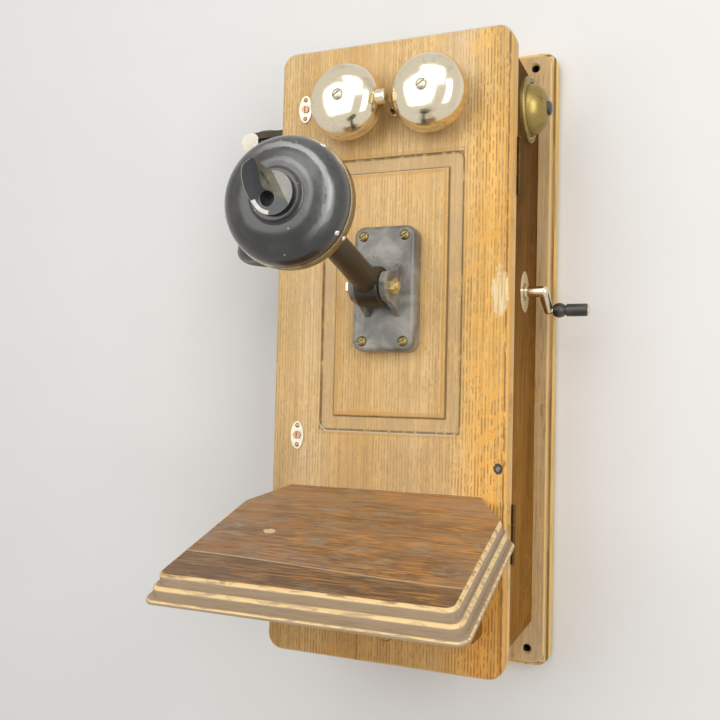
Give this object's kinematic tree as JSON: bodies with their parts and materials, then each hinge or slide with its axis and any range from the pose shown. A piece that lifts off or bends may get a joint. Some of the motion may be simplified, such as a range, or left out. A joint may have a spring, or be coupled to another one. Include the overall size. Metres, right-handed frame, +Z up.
{
  "type": "wall telephone",
  "caption": "Oak magneto wall telephone with gongs on a hinged door, tilting transmitter arm, receiver on a switch hook, hand crank, call button and sloping shelf.",
  "frame": {"origin": "centre of the backboard's rear face, which lies on the wall, midway between the four wall screw holes", "axes": "+Z up, +X to the right as seen from the front, +Y into the wall; the front faces -Y"},
  "size_m": [0.328, 0.364, 0.5624],
  "materials": {
    "oak_body": "worn varnish over plain-sawn oak",
    "oak_door": "honey varnish over quarter-sawn oak with ray fleck",
    "oak_shelf": "dark worn varnish over oak",
    "nickel": "bright nickel plate, lightly tarnished",
    "brass": "aged olive brass",
    "japan_black": "black japan, satin gloss, chipped",
    "hard_rubber": "black hard rubber, satin",
    "iron": "dark iron",
    "steel": "plain steel",
    "winding": "green silk-covered copper winding",
    "cell_card": "plain card sleeve",
    "carbon": "pressed carbon"
  },
  "bodies": {
    "cabinet": {"backboard": "oak_body", "left_side": "oak_body", "right_side": "oak_body", "box_top": "oak_body", "box_bottom": "oak_body", "inner_shelf": "oak_body", "hinge_box_leaves": "brass", "hinge_pins": "brass", "crank_plate": "nickel", "crank_bushing": "brass", "generator_magnets": "iron", "generator_pole_pieces": "iron", "generator_end_plates": "steel", "button_flange": "brass", "button_dome": "brass", "button_screws": "brass", "hook_plate": "nickel", "hook_bracket": "iron", "hook_pivot": "brass", "hook_springs": "steel", "dry_cells": "cell_card", "induction_coil": "winding"},
    "door": {"door_panel": "oak_door", "hinge_door_leaves": "brass", "lock_plates": "nickel", "lock_plate_screws": "nickel", "gong_left": "nickel", "gong_right": "nickel", "gong_posts": "nickel", "gong_screws": "nickel", "clapper_ferrule": "nickel", "ringer_coils": "winding", "ringer_frame": "iron", "transmitter_bracket": "japan_black", "bracket_screws": "brass", "pivot_bolt": "brass", "pivot_nut": "brass", "writing_shelf": "oak_shelf", "shelf_front_strip": "oak_shelf", "shelf_brackets": "oak_shelf", "door_stud": "brass"},
    "upper_lock": {"upper_lock_stud": "nickel"},
    "lower_lock": {"lower_lock_stud": "nickel"},
    "clapper_swinger": {"clapper": "nickel"},
    "transmitter": {"transmitter_arm": "japan_black", "transmitter_cup": "nickel", "transmitter_bezel": "nickel", "transmitter_face": "japan_black", "mouthpiece_stub": "hard_rubber", "transmitter_diaphragm": "steel", "carbon_button": "carbon"},
    "crank_shaft": {"crank": "nickel", "drive_gear": "steel"},
    "crank_handle": {"crank_grip": "hard_rubber"},
    "armature": {"generator_armature": "steel"},
    "call_button": {"push_button": "hard_rubber"},
    "hook": {"hook_lever": "nickel"},
    "receiver": {"receiver_shell": "hard_rubber", "receiver_ear_cap": "hard_rubber", "receiver_tail_cap": "hard_rubber"}
  },
  "joints": [
    {"name": "door_swing", "type": "hinge", "parent": "cabinet", "child": "door", "pos_m": [0.1058, -0.1092, 0], "axis": [0, 0, 1], "range_deg": [0, 90]},
    {"name": "upper_lock_turn", "type": "hinge", "parent": "door", "child": "upper_lock", "pos_m": [-0.08, -0.1294, 0.2098], "axis": [0, -1, 0], "range_deg": [0, 90]},
    {"name": "lower_lock_turn", "type": "hinge", "parent": "door", "child": "lower_lock", "pos_m": [-0.08, -0.1294, -0.0765], "axis": [0, -1, 0], "range_deg": [0, 90]},
    {"name": "clapper_swing", "type": "hinge", "parent": "door", "child": "clapper_swinger", "pos_m": [0.0047, -0.0929, 0.2005], "axis": [0, 0, 1], "range_deg": [-1.5, 1.5]},
    {"name": "arm_tilt", "type": "hinge", "parent": "door", "child": "transmitter", "pos_m": [0.0027, -0.1704, 0.0455], "axis": [-1, 0, 0], "range_deg": [-45, 20]},
    {"name": "crank_turn", "type": "hinge", "parent": "cabinet", "child": "crank_shaft", "pos_m": [0.121, -0.07475, 0.0503], "axis": [1, 0, 0], "continuous": true},
    {"name": "grip_spin", "type": "hinge", "parent": "crank_shaft", "child": "crank_handle", "pos_m": [0.133, -0.05026, 0.03673], "axis": [1, 0, 0], "continuous": true},
    {"name": "armature_spin", "type": "hinge", "parent": "cabinet", "child": "armature", "pos_m": [0.03, -0.07475, 0.01265], "axis": [1, 0, 0], "continuous": true},
    {"name": "button_press", "type": "slide", "parent": "cabinet", "child": "call_button", "axis": [-1, 0, 0], "range_m": [0, 0.0025], "stiffness_N_per_m": 400, "springref_m": -0.001},
    {"name": "hook_swing", "type": "hinge", "parent": "cabinet", "child": "hook", "pos_m": [-0.077, -0.077, 0.203], "axis": [0, 1, 0], "range_deg": [0, 8], "stiffness_Nm_per_rad": 0.2, "springref_deg": 20.05},
    {"name": "receiver_lift", "type": "slide", "parent": "hook", "child": "receiver", "axis": [0, 0, 1], "range_m": [0, 0.03]}
  ],
  "couplings": [
    {"joint": "armature_spin", "follows": "crank_turn", "ratio": -4}
  ]
}
